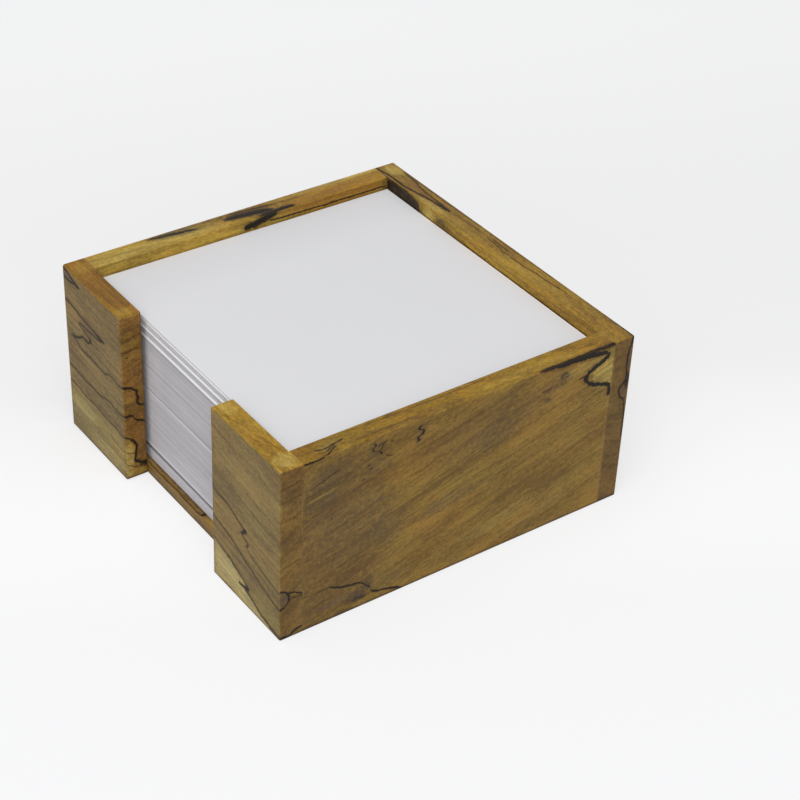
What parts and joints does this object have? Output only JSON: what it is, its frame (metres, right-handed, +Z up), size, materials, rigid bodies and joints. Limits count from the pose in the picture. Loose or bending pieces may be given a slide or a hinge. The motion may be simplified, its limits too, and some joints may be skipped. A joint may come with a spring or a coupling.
{
  "type": "memo sheet holder",
  "caption": "Square open-topped wooden tray for loose memo sheets, with a finger gap in its front wall and a full stack of sheets that lifts out.",
  "frame": {"origin": "centre of the underside, on the surface that the holder stands on", "axes": "+Z up; -Y out through the finger gap in the front wall; +X to the right for someone facing that wall"},
  "size_m": [0.1046, 0.1046, 0.0505],
  "materials": {
    "spalted_beech": "sanded and oiled, satin, with dark spalting lines",
    "dowel_beech": "bare beech dowel",
    "note_paper": "matt uncoated white"
  },
  "bodies": {
    "holder": {"rear_wall": "spalted_beech", "left_wall": "spalted_beech", "right_wall": "spalted_beech", "front_left_stub": "spalted_beech", "front_right_stub": "spalted_beech", "base_panel": "spalted_beech", "rear_left_dowels": "dowel_beech", "rear_right_dowels": "dowel_beech", "front_left_dowels": "dowel_beech", "front_right_dowels": "dowel_beech"},
    "refill": {"bottom_bundle": "note_paper", "lower_bundle": "note_paper", "middle_bundle": "note_paper", "proud_sheets_lower": "note_paper", "spacer_bundle": "note_paper", "proud_sheets_upper": "note_paper", "upper_bundle": "note_paper"},
    "loose_sheets": {"loose_sheets": "note_paper"},
    "top_sheet": {"top_sheet": "note_paper"}
  },
  "joints": [
    {"name": "refill_lift", "type": "slide", "parent": "holder", "child": "refill", "axis": [0, 0, 1], "range_m": [0, 0.05]},
    {"name": "loose_sheets_lift", "type": "slide", "parent": "refill", "child": "loose_sheets", "axis": [0, 0, 1], "range_m": [0, 0.015]},
    {"name": "top_sheet_lift", "type": "slide", "parent": "loose_sheets", "child": "top_sheet", "axis": [0, 0, 1], "range_m": [0, 0.02]}
  ]
}
